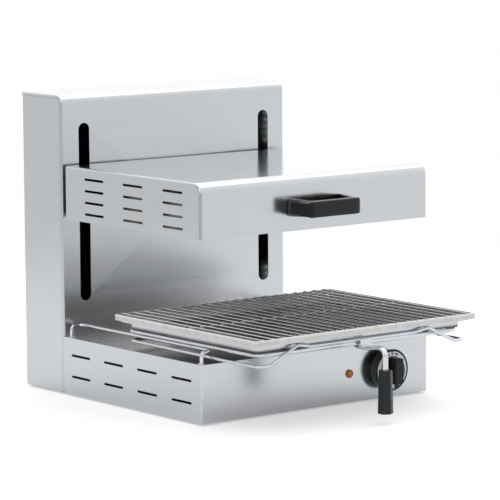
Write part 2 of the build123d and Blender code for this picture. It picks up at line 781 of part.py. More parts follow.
# ---------------------------------------------------------------- head: rear panel and reflector pan
arm_screw_z = (arm_z - 10, arm_z + 10)
with BuildPart() as head_rear_panel:
    with BuildSketch(Plane(origin=(0, head_rear - seam, 0), x_dir=(1, 0, 0), z_dir=(0, -1, 0))):
        with Locations((0, head_z + head_height / 2)):
            RectangleRounded(2 * inner_half, head_height - 2 * sheet - 2 * seam, head_fold - sheet)
        with Locations((0, head_top - 22)):
            with GridLocations(2 * vent_length, 3 * vent_height, 3, 2):
                SlotOverall(vent_length, vent_height, mode=Mode.SUBTRACT)
    extrude(amount=sheet)
head_rear_panel.part.label = "head_rear_panel"
export_step(head_rear_panel.part, "parts/head_rear_panel.step")

pan_half = half - 42
pan_front = front_y + 30
pan_rear = head_rear - 30
pan_mid = (pan_front + pan_rear) / 2
pan_depth = 48.0
pan_sheet = 1.0
pan_z = head_z + sheet
element_z = pan_z + 18
element_y = [pan_mid + k * element_pitch for k in (-1, 0, 1)]
element_legs = [y + s * element_gap / 2 for y in element_y for s in (-1, 1)]
with BuildPart() as reflector_pan:
    with BuildSketch(Plane.XY.offset(pan_z)):
        with Locations((0, pan_mid)):
            RectangleRounded(2 * pan_half, pan_rear - pan_front, 8)
    extrude(amount=pan_depth, taper=10)
    with BuildSketch(Plane.XY.offset(pan_z)):
        with Locations((0, (front_y + head_rear) / 2)):
            Rectangle(2 * inner_half - 1, head_depth - 4 * sheet - 2)
    extrude(amount=pan_sheet)
    with BuildSketch(Plane.XY.offset(pan_z)):
        with Locations((0, pan_mid)):
            RectangleRounded(2 * (pan_half - pan_sheet), pan_rear - pan_front - 2 * pan_sheet, 7)
    extrude(amount=pan_depth - pan_sheet, taper=10, mode=Mode.SUBTRACT)
    with BuildSketch(Plane.YZ.offset(half)):
        with Locations([(y, element_z) for y in element_legs]):
            Circle(element_diameter / 2 + seam)
    extrude(amount=-60, mode=Mode.SUBTRACT)
reflector_pan.part.label = "reflector_pan"
export_step(reflector_pan.part, "parts/reflector_pan.step")

with BuildPart() as insulation:
    with BuildSketch(Plane.XY.offset(pan_z + pan_depth + seam)):
        with Locations((0, pan_mid)):
            Rectangle(2 * pan_half - 30, pan_rear - pan_front - 30)
    extrude(amount=head_height - pan_depth - 2 * sheet - 3 * seam - 6)
insulation.part.label = "insulation"
export_step(insulation.part, "parts/insulation.step")

# ---------------------------------------------------------------- heating elements and hangers
element_end = half - 14
element_turn = -pan_half + 30
with BuildPart() as heating_elements:
    for y in element_y:
        with BuildLine() as element_line:
            FilletPolyline(
                (element_end, y - element_gap / 2, element_z),
                (element_turn, y - element_gap / 2, element_z),
                (element_turn, y + element_gap / 2, element_z),
                (element_end, y + element_gap / 2, element_z),
                radius=element_gap / 2 - 1,
            )
        with BuildSketch(Plane(origin=element_line.wires()[0] @ 0, z_dir=(-1, 0, 0))):
            Circle(element_diameter / 2)
        sweep(path=element_line.wires()[0])
heating_elements.part.label = "heating_elements"
export_step(heating_elements.part, "parts/heating_elements.step")

hanger_x = 120.0
with BuildPart() as element_hangers:
    for x in (-hanger_x, hanger_x):
        with BuildSketch(Plane.YZ.offset(x)):
            with Locations((pan_mid, element_z + 2)):
                Rectangle(2 * element_pitch + element_gap + 28, 16)
            with Locations((pan_mid, element_z + 20)):
                Rectangle(24, 2 * (pan_z + pan_depth - pan_sheet - seam - element_z - 20))
            with Locations([(y, element_z) for y in element_legs]):
                Circle(element_diameter / 2 + seam, mode=Mode.SUBTRACT)
        extrude(amount=sheet)
element_hangers.part.label = "element_hangers"
export_step(element_hangers.part, "parts/element_hangers.step")

with BuildPart() as element_terminals:
    with BuildSketch(Plane.YZ.offset(element_end - 6)):
        with Locations([(y, element_z) for y in element_legs]):
            Circle(element_diameter / 2 + 2.5)
            Circle(element_diameter / 2 + 0.1, mode=Mode.SUBTRACT)
    extrude(amount=7)
    with BuildSketch(Plane.YZ.offset(element_end + 1)):
        with Locations([(y, element_z) for y in element_legs]):
            Circle(element_diameter / 2 + 2.5)
    extrude(amount=3)
element_terminals.part.label = "element_terminals"
export_step(element_terminals.part, "parts/element_terminals.step")

# ---------------------------------------------------------------- bow handle
bow_z = floor_z + bow_centre
bow_half = bow_width / 2
bow_front_half = bow_front_width / 2
foot_pad = 16.0
with BuildPart() as bow_handle:
    with BuildSketch(Plane.XY.offset(bow_z)) as bow_plan:
        with BuildLine():
            Polyline(
                (-bow_half, front_y),
                (-bow_half, front_y - 12),
                (-bow_front_half, front_y - bow_reach),
                (bow_front_half, front_y - bow_reach),
                (bow_half, front_y - 12),
                (bow_half, front_y),
                (bow_half - foot_pad, front_y),
                (bow_half - foot_pad + 2, front_y - 12),
                (bow_front_half - 9, front_y - bow_reach + bow_bar),
                (9 - bow_front_half, front_y - bow_reach + bow_bar),
                (foot_pad - 2 - bow_half, front_y - 12),
                (foot_pad - bow_half, front_y),
                close=True,
            )
        make_face()
    extrude(amount=bow_height / 2, both=True)
    upright = bow_handle.edges().filter_by(Axis.Z)
    fillet(upright.filter_by(lambda e: e.center().Y < front_y - 1), 4)
    fillet(bow_handle.faces().sort_by(Axis.Y)[0].edges().filter_by(Axis.X), 2.5)
bow_handle.part.label = "bow_handle"
export_step(bow_handle.part, "parts/bow_handle.step")

with BuildPart() as handle_screws:
    with BuildSketch(behind(front_plane, sheet)):
        with Locations([(s * (bow_half - foot_pad / 2), bow_z) for s in (-1, 1)]):
            Circle(4)
    extrude(amount=-3)
handle_screws.part.label = "handle_screws"
export_step(handle_screws.part, "parts/handle_screws.step")

# ---------------------------------------------------------------- lift arms and carriage
housing_front = guide_y - housing_width / 2
for side, name in ((-1, "lift_arm_left"), (1, "lift_arm_right")):
    with BuildPart() as lift_arm:
        with BuildSketch(Plane.YZ.offset(side * slot_x)):
            with Locations(((head_rear + housing_front) / 2, arm_z)):
                Rectangle(housing_front - head_rear, arm_height)
        extrude(amount=arm_thickness / 2, both=True)
        with BuildSketch(Plane(origin=(0, head_rear, 0), x_dir=(-1, 0, 0), z_dir=(0, 1, 0))):
            with Locations((-side * slot_x, arm_z)):
                Rectangle(housing_width, arm_height)
        extrude(amount=4)
    lift_arm.part.label = name
    export_step(lift_arm.part, f"parts/{name}.step")

bush_r = guide_rod / 2 + bush_wall
with BuildPart() as bush_housings:
    with BuildSketch(Plane.XY.offset(arm_z - housing_height / 2)):
        with Locations((-slot_x, guide_y), (slot_x, guide_y)):
            RectangleRounded(housing_width, housing_width, 2)
            Circle(bush_r, mode=Mode.SUBTRACT)
    extrude(amount=housing_height)
bush_housings.part.label = "bush_housings"
export_step(bush_housings.part, "parts/bush_housings.step")

bush_length = 20.0
with BuildPart() as guide_bushes:
    for z in (arm_z - housing_height / 2, arm_z + housing_height / 2 - bush_length):
        with BuildSketch(Plane.XY.offset(z)):
            with Locations((-slot_x, guide_y), (slot_x, guide_y)):
                Circle(bush_r)
                Circle(guide_rod / 2 + run_gap, mode=Mode.SUBTRACT)
        extrude(amount=bush_length)
guide_bushes.part.label = "guide_bushes"
export_step(guide_bushes.part, "parts/guide_bushes.step")

carriage_y = guide_y + housing_width / 2
shelf = 4.0                # thickness of the spring shelves
with BuildPart() as carriage_plate:
    with BuildSketch(Plane(origin=(0, carriage_y, 0), x_dir=(1, 0, 0), z_dir=(0, -1, 0))):
        with Locations((0, arm_z)):
            RectangleRounded(2 * slot_x + housing_width, housing_height, 4)
    extrude(amount=-3)
    with BuildSketch(Plane(origin=(0, carriage_y, 0), x_dir=(1, 0, 0), z_dir=(0, -1, 0))):
        with Locations((-spring_x, arm_z), (spring_x, arm_z)):
            Rectangle(spring_diameter + 4, shelf)
    extrude(amount=spring_diameter + 4)
carriage_plate.part.label = "carriage_plate"
export_step(carriage_plate.part, "parts/carriage_plate.step")

# ---------------------------------------------------------------- guide rods and their cross rails
rod_low = floor_z + 30
rod_high = top_z - 20
rail_half = inner_half - seam
for z, name in ((rod_low, "lower_cross_rail"), (rod_high, "upper_cross_rail")):
    with BuildPart() as cross_rail:
        with BuildSketch(Plane.XY.offset(z)):
            with Locations((0, guide_y)):
                Rectangle(2 * rail_half, 40)
            with Locations((-slot_x, guide_y), (slot_x, guide_y)):
                Circle(guide_rod / 2 + 0.1, mode=Mode.SUBTRACT)
        extrude(amount=3)
        with BuildSketch(Plane.XY.offset(z + 3)):
            with Locations((0, guide_y + 18.5)):
                Rectangle(2 * rail_half, 3)
        extrude(amount=12)
    cross_rail.part.label = name
    export_step(cross_rail.part, f"parts/{name}.step")

for side, name in ((-1, "guide_rod_left"), (1, "guide_rod_right")):
    with BuildPart() as rod:
        with BuildSketch(Plane.XY.offset(rod_low)):
            with Locations((side * slot_x, guide_y)):
                Circle(guide_rod / 2)
        extrude(amount=rod_high + 3 - rod_low)
        chamfer(rod.edges(), 1)
    rod.part.label = name
    export_step(rod.part, f"parts/{name}.step")

buffer_top = arm_z - housing_height / 2 - head_down - seam
buffer_bottom = arm_z + housing_height / 2 + head_up + seam
with BuildPart() as stop_buffers:
    for z in (buffer_top - buffer_height, buffer_bottom):
        with BuildSketch(Plane.XY.offset(z)):
            with Locations((-slot_x, guide_y), (slot_x, guide_y)):
                Circle(buffer_diameter / 2)
                Circle(guide_rod / 2 + 0.1, mode=Mode.SUBTRACT)
        extrude(amount=buffer_height)
stop_buffers.part.label = "stop_buffers"
export_step(stop_buffers.part, "parts/stop_buffers.step")

# ---------------------------------------------------------------- counterbalance springs
spring_y = carriage_y - 2 - spring_diameter / 2
spring_low = arm_z + shelf / 2
spring_high = rod_high
for side, name in ((-1, "spring_left"), (1, "spring_right")):
    with BuildPart() as spring:
        with BuildSketch(Plane.XY.offset(spring_low)):
            with Locations((side * spring_x, spring_y)):
                Circle(spring_diameter / 2)
                Circle(spring_diameter / 2 - spring_wire, mode=Mode.SUBTRACT)
        extrude(amount=spring_high - spring_low)
    spring.part.label = name
    export_step(spring.part, f"parts/{name}.step")
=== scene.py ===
"""Dresses a rise-and-fall salamander grill: finishes, weld beads, bow handle, stage, camera.

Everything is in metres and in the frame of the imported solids: +Z up, the front looks along -Y.
"""
import math

import bmesh
import bpy
from bpy.props import FloatProperty, FloatVectorProperty, IntProperty, PointerProperty
from mathutils import Matrix, Vector


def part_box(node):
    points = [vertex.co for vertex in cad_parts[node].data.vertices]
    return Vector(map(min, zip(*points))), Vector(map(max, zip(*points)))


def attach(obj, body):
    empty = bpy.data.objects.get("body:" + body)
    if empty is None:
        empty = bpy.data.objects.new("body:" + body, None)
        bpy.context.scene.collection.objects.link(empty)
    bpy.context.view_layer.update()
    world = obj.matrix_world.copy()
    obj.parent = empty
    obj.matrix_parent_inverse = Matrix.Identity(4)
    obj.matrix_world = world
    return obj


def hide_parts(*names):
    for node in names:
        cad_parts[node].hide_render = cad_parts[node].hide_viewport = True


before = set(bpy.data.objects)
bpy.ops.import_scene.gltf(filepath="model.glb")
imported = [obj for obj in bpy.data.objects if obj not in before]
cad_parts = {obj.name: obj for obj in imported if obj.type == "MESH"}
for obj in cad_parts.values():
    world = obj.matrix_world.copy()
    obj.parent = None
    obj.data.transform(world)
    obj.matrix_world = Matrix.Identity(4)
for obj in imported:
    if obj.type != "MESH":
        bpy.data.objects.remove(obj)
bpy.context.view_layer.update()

bl_info = {
    "name": "Salamander Grill Dresser",
    "version": (1, 0, 0),
    "blender": (4, 5, 0),
    "location": "3D View > Sidebar > Grill",
    "description": "Finishes and small details for a grill with a rise-and-fall head",
    "category": "Object",
}

MM = 0.001


# ---------------------------------------------------------------- places taken from the solids
def middle(node):
    low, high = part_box(node)
    return (low + high) / 2


BASE_REACH = 380 * MM
COLUMN_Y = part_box("base_casing")[0].y + BASE_REACH
CASING_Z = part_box("base_casing")[0].z
KNOB = middle("knob_dial")
LAMP = middle("pilot_lens")
DIAL_RADIUS = (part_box("knob_dial")[1].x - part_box("knob_dial")[0].x) / 2
BOW_LOW, BOW_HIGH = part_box("bow_handle")
GRID_LOW, GRID_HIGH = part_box("grid")
TRAY_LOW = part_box("drip_tray")[0]

# ---------------------------------------------------------------- stage
FLOOR_HALF = 1.6
FLOOR_DROP = 0.0002
FLOOR_LIFT = 0.45
MIRRORED_LIFT = 0.3
LAMP_AIM = (0.0, 0.0, 0.3)
KEY_PLACE = (-2.6, -2.2, 2.3)
KEY_SIZE = (3.6, 3.4)
TOP_PLACE = (0.4, 0.3, 2.6)
TOP_SIZE = (3.4, 3.4)
# from the foot of the column's front
CAMERA_PLACE = Vector((-3.121, -4.164, 0.900))
CAMERA_AIM = Vector((0.0987, -0.0792, 0.2206))
CAMERA_ROLL = -0.006


# ---------------------------------------------------------------- shader expressions
class Value:
    """A socket that takes part in Python arithmetic."""

    def __init__(self, finish, socket):
        self.finish = finish
        self.socket = socket

    def math(self, operation, *terms):
        return self.finish.node("ShaderNodeMath", {"operation": operation}, dict(enumerate(terms)))

    def __add__(self, other):
        return self.math("ADD", self, other)

    __radd__ = __add__

    def __sub__(self, other):
        return self.math("SUBTRACT", self, other)

    def __rsub__(self, other):
        return self.math("SUBTRACT", other, self)

    def __mul__(self, other):
        return self.math("MULTIPLY", self, other)

    __rmul__ = __mul__

    def __truediv__(self, other):
        return self.math("DIVIDE", self, other)

    def __pow__(self, other):
        return self.math("POWER", self, other)

    def __abs__(self):
        return self.math("ABSOLUTE", self)

    def __gt__(self, other):
        return self.math("GREATER_THAN", self, other)

    def __lt__(self, other):
        return self.math("LESS_THAN", self, other)

    def held(self):
        """Kept between 0 and 1."""
        return self.math("MINIMUM", self.math("MAXIMUM", self, 0.0), 1.0)

    def larger(self, other):
        return self.math("MAXIMUM", self, other)

    def sine(self):
        return self.math("SINE", self)

    def stretched(self, x, y, z):
        return self.finish.node("ShaderNodeVectorMath", {"operation": "MULTIPLY"}, {0: self, 1: (x, y, z)})

    def parts(self):
        apart = self.finish.tree.nodes.new("ShaderNodeSeparateXYZ")
        self.finish.tree.links.new(self.socket, apart.inputs[0])
        return [Value(self.finish, out) for out in apart.outputs]


class Finish:
    """A node material that is put together from expressions."""

    def __init__(self, name, fixed, tree=None):
        if tree is None:
            self.material = bpy.data.materials.new(name)
            self.material.use_nodes = True
            tree = self.material.node_tree
            self.shader = tree.nodes["Principled BSDF"]
            for socket, value in fixed.items():
                self.shader.inputs[socket].default_value = value
        self.tree = tree

    def node(self, kind, settings=None, links=None, out=0):
        """One node: its settings are made first, then its sockets are set or linked."""
        made = self.tree.nodes.new(kind)
        for key, value in (settings or {}).items():
            if key == "stops":
                ramp = made.color_ramp.elements
                while len(ramp) < len(value):
                    ramp.new(1.0)
                for stop, (at, colour) in zip(ramp, value):
                    stop.position = at
                    stop.color = (*colour[:3], 1.0)
            else:
                setattr(made, key, value)
        for key, value in (links or {}).items():
            if isinstance(value, Value):
                self.tree.links.new(value.socket, made.inputs[key])
            else:
                made.inputs[key].default_value = value
        return Value(self, made.outputs[out])

    @property
    def place(self):
        return self.node("ShaderNodeTexCoord", out="Object")

    @property
    def facing(self):
        return self.node("ShaderNodeTexCoord", out="Normal")

    def noise(self, vector, scale=1.0, detail=3.0, rough=0.55):
        return self.node(
            "ShaderNodeTexNoise", {}, {"Vector": vector, "Scale": scale, "Detail": detail, "Roughness": rough}
        )

    def cells(self, vector, scale=1.0):
        return self.node("ShaderNodeTexVoronoi", {}, {"Vector": vector, "Scale": scale})

    def mix(self, factor, first, second):
        first, second = [(*c[:3], 1.0) if not isinstance(c, Value) else c for c in (first, second)]
        return self.node("ShaderNodeMix", {"data_type": "RGBA"}, {0: factor, 6: first, 7: second}, 2)

    def choose(self, factor, first, second):
        return self.node("ShaderNodeMix", {"data_type": "VECTOR"}, {0: factor, 4: first, 5: second}, 1)

    def ramp(self, factor, *stops):
        return self.node("ShaderNodeValToRGB", {"stops": stops}, {0: factor})

    def paint(self, colour=None, rough=None, metal=None, coat=None, glow=None, relief=None, depth=0.1):
        """Links what varies to the shader: relief is a height between 0 and 1, depth is in millimetres."""
        wanted = {"Base Color": colour, "Roughness": rough, "Metallic": metal, "Coat Weight": coat}
        wanted["Emission Color"] = glow
        for socket, value in wanted.items():
            if value is not None:
                self.tree.links.new(value.socket, self.shader.inputs[socket])
        if relief is not None:
            bump = self.node("ShaderNodeBump", {}, {"Distance": depth * MM, "Height": relief})
            self.tree.links.new(bump.socket, self.shader.inputs["Normal"])
        return self.material


def tinted(colour, factor):
    return [channel * factor for channel in colour[:3]]


# ---------------------------------------------------------------- finishes of the metal pieces
def brushed_sheet(name, colour, rough, grain=0.05, haze=0.035, tint=None, inner=None):
    """Stainless sheet with a level grain: along X on fronts and tops, along Y on the sides.

    inner is a painted shade: a near-black, dull colour put on the back cover's inside, which faces the front
    and is seen through the column's slots.
    """
    f = Finish(name, {"Metallic": 1.0, "IOR": 2.2})
    side = abs(f.facing.parts()[0]) > 0.7
    lines = f.choose(side, f.place.stretched(4, 900, 900), f.place.stretched(900, 4, 900))
    bands = f.choose(side, f.place.stretched(1.5, 70, 70), f.place.stretched(70, 1.5, 70))
    line = f.noise(lines, 1.0, 2.0)
    band = f.noise(bands, 1.0, 3.0)
    cloud = f.noise(f.place, 5.0, 3.0, 0.5)
    smear = f.noise(f.place.stretched(1, 1, 0.5), 19.0, 4.0, 0.6)
    streak = (line - 0.5) * grain + (band - 0.5) * grain
    tone = (streak * 1.5 + (cloud - 0.5) * 0.10 + (smear - 0.5) * 0.05 + 0.5).held()
    base = f.mix(tone, tinted(colour, 0.90), tinted(colour, 1.10))
    if tint is not None:
        base = f.mix(((cloud - 0.42) * 2.2).held() * 0.6, base, tint)
    roughness = streak * 0.5 + (smear - 0.5) * haze + (cloud - 0.5) * haze + rough
    if inner is not None:
        # painted shade: faces that look to the front take the near-black inner colour and are made duller
        inside = f.facing.parts()[1] < -0.7
        base = f.mix(inside, base, inner)
        roughness = roughness + inside * 0.5
    return f.paint(colour=base, rough=roughness.held(), relief=line * 0.4 + band * 0.6, depth=0.003)


def drawn_wire(name, colour, rough=0.16):
    """Bright drawn wire with faint draw lines and the odd dull spot."""
    f = Finish(name, {"Metallic": 1.0, "IOR": 2.3})
    speck = f.noise(f.place, 420.0, 3.0, 0.6)
    dull = f.noise(f.place, 38.0, 4.0, 0.65)
    base = f.mix(dull, tinted(colour, 0.86), tinted(colour, 1.06))
    roughness = rough + (dull - 0.5) * 0.16 + (speck - 0.5) * 0.06
    return f.paint(colour=base, rough=roughness.held(), relief=speck, depth=0.015)


def plated_grid(name, colour, stain):
    """Chromed rods browned a little by heat and fat in patches, and browner below their tops: a painted shade
    between the bars.
    """
    f = Finish(name, {"Metallic": 1.0, "IOR": 2.3})
    height = f.place.parts()[2]
    worn = f.noise(f.place, 60.0, 5.0, 0.7)
    fine = f.noise(f.place, 700.0, 2.0)
    # painted shade: the rods are browned more below their tops, where shade falls between the bars
    inside = ((GRID_HIGH.z - 0.002 - height) * 300.0).held()
    stain_and_shade = (inside * 0.5 + (worn - 0.55) * 0.8).held() * 0.8
    base = f.mix(stain_and_shade, colour, stain)
    roughness = (0.18 + stain_and_shade * 0.22 + (fine - 0.5) * 0.05).held()
    return f.paint(colour=base, rough=roughness, relief=worn * 0.6 + fine * 0.4, depth=0.03)


def pressed_tray(name, colour):
    """Pressed tray: satin outside; its floor is darkened, partly burnt-on residue in clouds and partly a
    painted shade under the grid.
    """
    f = Finish(name, {"Metallic": 1.0, "IOR": 2.2})
    height = f.place.parts()[2]
    cloud = f.noise(f.place, 12.0, 5.0, 0.65)
    fine = f.noise(f.place.stretched(8, 500, 500), 1.0, 2.0)
    floor = 1.0 - ((height - TRAY_LOW.z - 0.002) * 260.0).held()
    # painted shade under the grid: the whole floor is darkened, and more in clouds of burnt-on residue
    residue_and_shade = (floor * (cloud * 0.8 + 0.45)).held()
    base = f.mix(residue_and_shade, colour, (0.060, 0.050, 0.038))
    roughness = (0.24 + residue_and_shade * 0.3 + (fine - 0.5) * 0.1).held()
    return f.paint(colour=base, rough=roughness, relief=cloud * 0.4 + fine * 0.6, depth=0.02)


def spangled_zinc(name):
    """Galvanised sheet with its dulled spangle, for the hidden brackets and plates."""
    f = Finish(name, {"Metallic": 1.0})
    spangle = f.cells(f.place, 110.0)
    fine = f.noise(f.place, 300.0, 3.0)
    base = f.mix((spangle * 1.4).held(), (0.13, 0.14, 0.15), (0.24, 0.25, 0.26))
    return f.paint(colour=base, rough=(0.36 + (fine - 0.5) * 0.2).held(), relief=spangle, depth=0.01)


def ground_rod(name):
    """Centreless-ground guide rods with faint rings."""
    f = Finish(name, {"Metallic": 1.0})
    ring = f.noise(f.place.stretched(2, 2, 1400), 1.0, 2.0)
    base = f.mix(ring, (0.60, 0.61, 0.62), (0.74, 0.75, 0.76))
    return f.paint(colour=base, rough=(0.12 + ring * 0.1).held(), relief=ring, depth=0.006)


def mirror_pan(name):
    """Reflector pan: bright sheet with heat colours near the elements."""
    f = Finish(name, {"Metallic": 1.0})
    cloud = f.noise(f.place, 16.0, 5.0, 0.6)
    heat = f.ramp(
        cloud,
        (0.30, (0.66, 0.66, 0.67)),
        (0.52, (0.58, 0.50, 0.38)),
        (0.66, (0.36, 0.26, 0.30)),
        (0.80, (0.55, 0.54, 0.56)),
    )
    return f.paint(colour=heat, rough=(0.2 + cloud * 0.15).held(), relief=cloud, depth=0.05)


def scaled_element(name):
    """Sheath of a tubular heating element, oxidised dark with lighter scale."""
    f = Finish(name, {"Metallic": 0.35})
    scale = f.noise(f.place, 180.0, 6.0, 0.7)
    patch = f.noise(f.place, 30.0, 4.0)
    base = f.mix((scale * 0.7 + patch * 0.6 - 0.25).held(), (0.018, 0.016, 0.015), (0.11, 0.09, 0.075))
    return f.paint(colour=base, rough=(0.45 + scale * 0.35).held(), relief=scale, depth=0.08)


def machined(name, colour, rough=0.25):
    """Turned or stamped small metal parts: screws, nuts, bushes, washers."""
    f = Finish(name, {"Metallic": 1.0})
    fine = f.noise(f.place, 900.0, 3.0)
    patch = f.noise(f.place, 90.0, 4.0)
    base = f.mix(patch, tinted(colour, 0.8), tinted(colour, 1.1))
    return f.paint(colour=base, rough=(rough + (patch - 0.5) * 0.2).held(), relief=fine, depth=0.01)


# ---------------------------------------------------------------- finishes of the other pieces
def moulded(name, colour, rough, gloss=0.5, texture=0.03, wear=0.0):
    """Moulded phenolic or nylon: a fine skin, faint flow marks, rubbed where hands touch it."""
    f = Finish(name, {"Coat Roughness": 0.12, "IOR": 1.42})
    pores = f.noise(f.place, 650.0, 3.0, 0.6)
    flow = f.noise(f.place.stretched(1, 1, 0.3), 45.0, 4.0, 0.6)
    rubbed = ((f.noise(f.place, 22.0, 3.0) - 0.5) * 3.0).held() * wear
    base = f.mix((flow * 0.6 + rubbed).held(), tinted(colour, 0.85), [c * 1.2 + 0.004 for c in colour[:3]])
    roughness = (rough + (flow - 0.5) * 0.12 + rubbed * 0.15 + (pores - 0.5) * 0.05).held()
    coat = (gloss + (flow - 0.5) * gloss - rubbed).held()
    return f.paint(colour=base, rough=roughness, coat=coat, relief=pores * 0.6 + flow * 0.4, depth=texture)


def dial_print(name, colour):
    """Spun silver ring with generic dark marks: a tick at the top, dashes to both sides, an off dot.

    Angles are degrees clockwise from the top, and radii are millimetres.
    """
    f = Finish(name, {"Metallic": 0.85})
    x, y, z = f.place.parts()
    across, up = x - KNOB.x, z - KNOB.z
    radius = (across * across + up * up) ** 0.5 / MM
    turn = f.node("ShaderNodeMath", {"operation": "ARCTAN2"}, {0: across, 1: up}) * (180 / math.pi)
    ring = f.noise((f.node("ShaderNodeCombineXYZ", {}, {0: radius * 3.0})), 1.0, 2.0)
    band_from = 25.0
    tick = (abs(turn) < 3.0) * (radius > band_from)
    dashes = (abs(abs(turn) - 20.0) < 9.0) * (abs(radius - 27.6) < 1.3)
    wedge = (abs(turn - 105.0) < 66.0) * (radius < band_from + (turn - 35.0) * 0.05)
    dot_x, dot_z = across + 0.0205, up + 0.0185
    dot = (dot_x * dot_x + dot_z * dot_z) < (1.9 * MM) ** 2
    rim = radius > DIAL_RADIUS / MM - 1.1
    marks = tick.larger(dashes).larger(dot).larger(wedge).larger(rim)
    base = f.mix(marks, f.mix(ring, tinted(colour, 0.82), tinted(colour, 1.05)), (0.02, 0.02, 0.022))
    roughness = (0.26 + ring * 0.12 + marks * 0.2).held()
    return f.paint(colour=base, rough=roughness, metal=0.85 - marks * 0.8, relief=ring, depth=0.01)


def lamp_glass(name, colour):
    """Amber lens of the pilot lamp with fine ribs, lighter in the middle."""
    f = Finish(name, {"Coat Weight": 0.12, "Coat Roughness": 0.05, "IOR": 1.38, "Emission Strength": 0.2})
    x, y, z = f.place.parts()
    across, up = x - LAMP.x, z - LAMP.z
    lens_radius = 7.0 * MM
    radius = (across * across + up * up) ** 0.5 / lens_radius
    ribs = (radius * 30.0).sine() * 0.5 + 0.5
    cloud = f.noise(f.place, 300.0, 3.0)
    heart = (1.0 - radius * 1.1).held()
    bright = [colour[0], colour[1] * 1.5, colour[2] * 2.0]
    base = f.mix((heart + ribs * 0.15 + cloud * 0.1).held(), tinted(colour, 0.55), bright)
    return f.paint(colour=base, glow=base, rough=(0.18 + cloud * 0.1).held(), relief=ribs, depth=0.12)


def matt_rubber(name, colour):
    """Black rubber with grit and a little dust."""
    f = Finish(name, {"IOR": 1.5})
    grit = f.noise(f.place, 500.0, 4.0, 0.7)
    dust = f.noise(f.place, 60.0, 4.0)
    base = f.mix((dust * 0.5).held(), colour, tinted(colour, 2.6))
    return f.paint(colour=base, rough=(0.7 + grit * 0.2).held(), relief=grit, depth=0.08)


def mineral_wool(name):
    """Yellow-grey fibre mat."""
    f = Finish(name, {"IOR": 1.45})
    strands = f.noise(f.place.stretched(1, 1, 6), 160.0, 8.0, 0.75)
    clump = f.noise(f.place, 30.0, 5.0)
    base = f.mix((strands * 0.7 + clump * 0.4 - 0.1).held(), (0.30, 0.27, 0.19), (0.62, 0.57, 0.42))
    return f.paint(colour=base, rough=(0.85 + strands * 0.1).held(), relief=strands, depth=0.8)


def fired_ceramic(name, colour):
    """Fired terminals with pits and faint stains."""
    f = Finish(name, {"IOR": 1.6})
    pits = f.noise(f.place, 420.0, 5.0, 0.6)
    stain = f.noise(f.place, 50.0, 4.0)
    base = f.mix((stain * 0.8).held(), colour, tinted(colour, 0.75))
    return f.paint(colour=base, rough=(0.3 + pits * 0.25).held(), relief=pits, depth=0.05)


def stage_paper(name, colour, lift):
    """Plain pale floor: it keeps the shadow, the camera sees it lifted to white, and mirrors a little."""
    f = Finish(name, {"Roughness": 0.9, "Specular IOR Level": 0.1, "Emission Color": (1.0, 1.0, 1.0, 1.0)})
    fibre = f.noise(f.place, 240.0, 3.0)
    base = f.mix(fibre, tinted(colour, 0.985), colour)
    seen = f.node("ShaderNodeLightPath", out="Is Camera Ray")
    mirrored = f.node("ShaderNodeLightPath", out="Is Glossy Ray") * MIRRORED_LIFT
    f.tree.links.new((seen.larger(mirrored) * lift).socket, f.shader.inputs["Emission Strength"])
    return f.paint(colour=base)


# ---------------------------------------------------------------- helpers for pieces
def dress(material, *nodes):
    """Gives CAD nodes their finish."""
    for name in nodes:
        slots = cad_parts[name].data.materials
        if not len(slots):
            slots.append(material)
        for index in range(len(slots)):
            slots[index] = material


def new_piece(name, mesh, material, body, smooth=True):
    """Links a mesh as a piece that rides on a body."""
    piece = bpy.data.objects.new(name, mesh)
    bpy.context.scene.collection.objects.link(piece)
    mesh.materials.append(material)
    for polygon in mesh.polygons:
        polygon.use_smooth = smooth
    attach(piece, body)
    return piece


def skin(rings):
    """A capped tube of quads over rings of points, in order."""
    shape = bmesh.new()
    rows = [[shape.verts.new(point) for point in ring] for ring in rings]
    count = len(rows[0])
    for one, two in zip(rows, rows[1:]):
        for i in range(count):
            j = (i + 1) % count
            shape.faces.new((one[i], one[j], two[j], two[i]))
    shape.faces.new(reversed(rows[0]))
    shape.faces.new(rows[-1])
    bmesh.ops.recalc_face_normals(shape, faces=shape.faces)
    return shape


def bent(before, corner, after, reach, steps=5):
    """Points that round a corner between two neighbours, reach away from it."""
    start = corner + (before - corner).normalized() * reach
    end = corner + (after - corner).normalized() * reach
    parts = [step / steps for step in range(steps + 1)]
    return [start * (1 - t) ** 2 + corner * 2 * t * (1 - t) + end * t ** 2 for t in parts]


